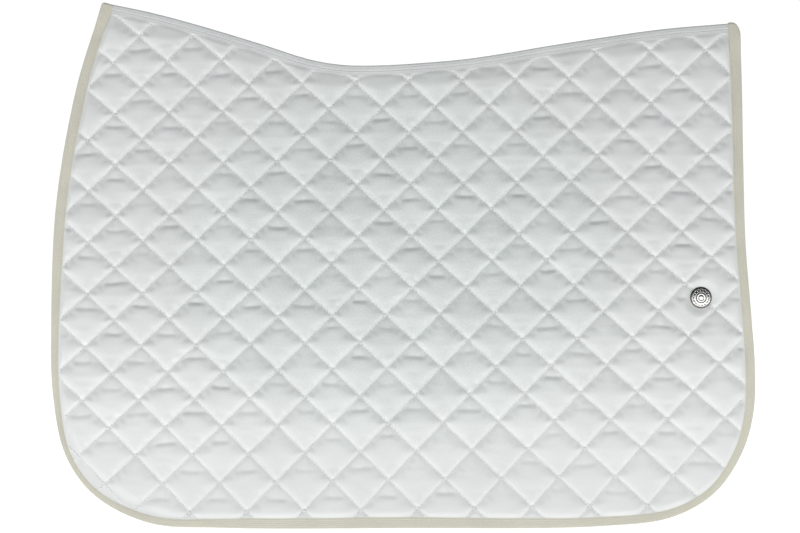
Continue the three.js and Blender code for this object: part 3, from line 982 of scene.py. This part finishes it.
def make_button():
    r = BUTTON_RADIUS
    base = [(0, 0), (r - 0.9, 0), (r - 0.25, 0.3), (r, 0.75), (r - 0.1, 1.1)]
    # The cap's shoulder is part of a ball, from its rim up to the groove round its centre
    leans = np.radians(np.linspace(CAP_LEAN[1], CAP_LEAN[0], 12))
    ball = (r - 0.5) / math.sin(leans[0])
    shoulder = [(ball * math.sin(t), 1.2 + ball * (math.cos(t) - math.cos(leans[0]))) for t in leans]
    inner, top = shoulder[-1]
    cap = [*base, *shoulder, (inner - 0.25, top - 0.5), (0, top - 0.5)]
    # Its rim is painted dark as a painted reflection; a band half way up its shoulder and the groove
    # round its centre are dark too
    groove = len(base) + len(shoulder) - 1
    dark = [range(1, 7), range(len(base) + 4, groove - 4), range(groove, groove + 2)]
    turned("button_cap_metal", cap, 96, "button_cap", dark)
    wall = inner - 0.75
    dish = [(0, top - 0.7), (wall, top - 0.7), (wall, top - 0.1), (wall - 0.25, top + 0.1)]
    ring = [(2.9, top + 0.2), (2.6, top), (2.3, top), (2.0, top + 0.2)]
    boss = [(0.9, top + 0.3), (0, top + 0.3)]
    turned("button_centre_metal", [*dish, *ring, *boss], 64, "button_centre", dark=[range(5, 6)])
    # Plain radial flutes on the shoulder, long and short by turns
    lean = np.radians(sum(CAP_LEAN) / 2)
    out = 1.2 + ball * (math.cos(lean) - math.cos(leans[0]))
    seat = button_high.y / MM
    for name, middle, size in (("long", 7.3, (3.0, 1.4, 0.7)), ("short", 7.9, (1.9, 1.3, 0.7))):
        angle = (np.arange(FLUTES) + (0.5 if name == "short" else 0)) / FLUTES * 2 * math.pi
        cosine, sine, none = np.cos(angle), np.sin(angle), np.zeros(FLUTES)
        radial = np.stack([cosine, none, sine], axis=1)
        middle_out = out - (middle - 7.2) * math.tan(lean)
        places = [BUTTON.x, seat - middle_out, BUTTON.z] + middle * radial
        outward = radial * math.sin(lean) + [0, -math.cos(lean), 0]
        along = radial * math.cos(lean) + [0, math.sin(lean), 0]
        flutes = stitches(f"button_{name}_flutes", places, along, outward, size, NICKEL)
        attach(flutes, "near_flap")
    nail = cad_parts["button_nail"]
    nail.data.materials.clear()
    nail.data.materials.append(NICKEL)


# ---- setting ----------------------------------------------------------

def add_lamp(name, at, towards, size, power, spread=180):
    lamp = bpy.data.lights.new(name, "AREA")
    lamp.spread = math.radians(spread)
    lamp.shape = "RECTANGLE"
    lamp.size, lamp.size_y = size
    lamp.energy = power
    holder = bpy.data.objects.new(name, lamp)
    holder.location = at
    holder.rotation_euler = (towards - at).to_track_quat("-Z", "Y").to_euler()
    holder.visible_camera = False
    bpy.context.scene.collection.objects.link(holder)


def add_card(name, bottom, top, brightness):
    """A card in front of the pad, black or glowing, which only the polished metal reflects. Its
    bottom and top edges are each at one (y, z)."""
    left, right = -900, 1500
    corners = [(left, *bottom), (right, *bottom), (right, *top), (left, *top)]
    n = Nodes(name)
    n.shader.inputs["Base Color"].default_value = (0.01, 0.01, 0.01, 1)
    n.shader.inputs["Specular IOR Level"].default_value = 0
    n.shader.inputs["Emission Color"].default_value = (1, 1, 1, 1)
    n.shader.inputs["Emission Strength"].default_value = brightness
    card = new_object(name, corners, [(0, 1, 2, 3)], [n.material])
    for kind in ("camera", "diffuse", "shadow", "transmission", "volume_scatter"):
        setattr(card, "visible_" + kind, False)


def make_setting():
    """A luminous pale floor, a dim sky, soft lamps low and high, and narrow beams from above."""
    floor_z = CAD_BOX[0][2] / MM - 2.5
    size = 9000
    corners = [(x * size, y * size, floor_z) for x, y in ((-1, -1), (1, -1), (1, 1), (-1, 1))]
    n = Nodes("floor_pale")
    n.shader.inputs["Base Color"].default_value = (0.1, 0.1, 0.1, 1)
    n.shader.inputs["Roughness"].default_value = 1
    n.shader.inputs["Specular IOR Level"].default_value = 0
    n.shader.inputs["Emission Color"].default_value = (1, 1, 1, 1)
    n.shader.inputs["Emission Strength"].default_value = 1.19
    floor = new_object("floor", corners, [(0, 1, 2, 3)], [n.material])

    # The camera sees white beyond the floor, but what lights the pad is a dim sky
    world = bpy.data.worlds.new("studio")
    bpy.context.scene.world = world
    world.use_nodes = True
    tree = world.node_tree
    tree.nodes.clear()
    output = tree.nodes.new("ShaderNodeOutputWorld")
    seen = tree.nodes.new("ShaderNodeBackground")
    seen.inputs[0].default_value = (1, 1, 1, 1)
    seen.inputs[1].default_value = 1.05
    lit = tree.nodes.new("ShaderNodeBackground")
    place = tree.nodes.new("ShaderNodeTexCoord")
    parts = tree.nodes.new("ShaderNodeSeparateXYZ")
    tree.links.new(place.outputs["Generated"], parts.inputs[0])
    sky = tree.nodes.new("ShaderNodeMapRange")
    tree.links.new(parts.outputs[2], sky.inputs[0])
    sky.inputs[3].default_value = 0.365
    sky.inputs[4].default_value = 0.3
    tree.links.new(sky.outputs[0], lit.inputs[1])
    lit.inputs[0].default_value = (0.97, 0.99, 1, 1)
    path = tree.nodes.new("ShaderNodeLightPath")
    mix = tree.nodes.new("ShaderNodeMixShader")
    tree.links.new(path.outputs["Is Camera Ray"], mix.inputs[0])
    tree.links.new(lit.outputs[0], mix.inputs[1])
    tree.links.new(seen.outputs[0], mix.inputs[2])
    tree.links.new(mix.outputs[0], output.inputs[0])

    # On either side a long low lamp, a small one high beside the withers, and a narrow beam
    # straight down beside the spine, which lights nothing until a flap is raised. One more
    # lights the spine's top.
    down = Vector((0, 0, -1))
    for side in (NEAR, OFF):
        low = Vector((0.04, side * 0.22, floor_z * MM + 0.035))
        add_lamp(f"{NAMES[side]}_low_lamp", low, Vector((0.04, 0, -0.2)), (1.4, 0.05), 0.33)
        high = Vector((-0.62, side * 0.4, 0.24))
        add_lamp(f"{NAMES[side]}_high_lamp", high, Vector((-0.2, 0, 0.05)), (0.4, 0.4), 0.28)
        above = Vector((0.045, side * 0.245, 0.5))
        add_lamp(f"{NAMES[side]}_top_lamp", above, above + down, (0.72, 0.42), 0.48, spread=6)
    above = Vector((0.0575, 0, 0.1))
    add_lamp("spine_lamp", above, above + down, (0.605, 0.01), 0.0165, spread=6)
    add_card("dark_card", (-900, 60), (-300, 900), brightness=0)
    add_card("bright_card", (-2800, -700), (-2800, 90), brightness=1.5)
    bpy.context.scene.view_settings.view_transform = "Standard"


def make_camera():
    """Square on to the near side, so that the frame takes in 746 mm at the near flap's edge."""
    camera = bpy.data.cameras.new("camera")
    distance, seen_width = 2.6, 0.746
    camera.sensor_width = 36
    camera.lens = camera.sensor_width * distance / seen_width
    camera.clip_end = 30
    holder = bpy.data.objects.new("camera", camera)
    holder.location = (0.0413, -distance - (BINDING_IN + BINDING_OUT) / 2 * MM, -0.1873)
    holder.rotation_euler = (math.radians(90), 0, 0)
    bpy.context.scene.collection.objects.link(holder)
    bpy.context.scene.camera = holder


blown = {}
blown = {side: blown_cover(side, SHEET_DIVISIONS[side]) for side in (NEAR, OFF)}
make_camera()
make_setting()
make_panels()
make_quilting()
make_bindings()
make_tips()
make_spine()
make_button()
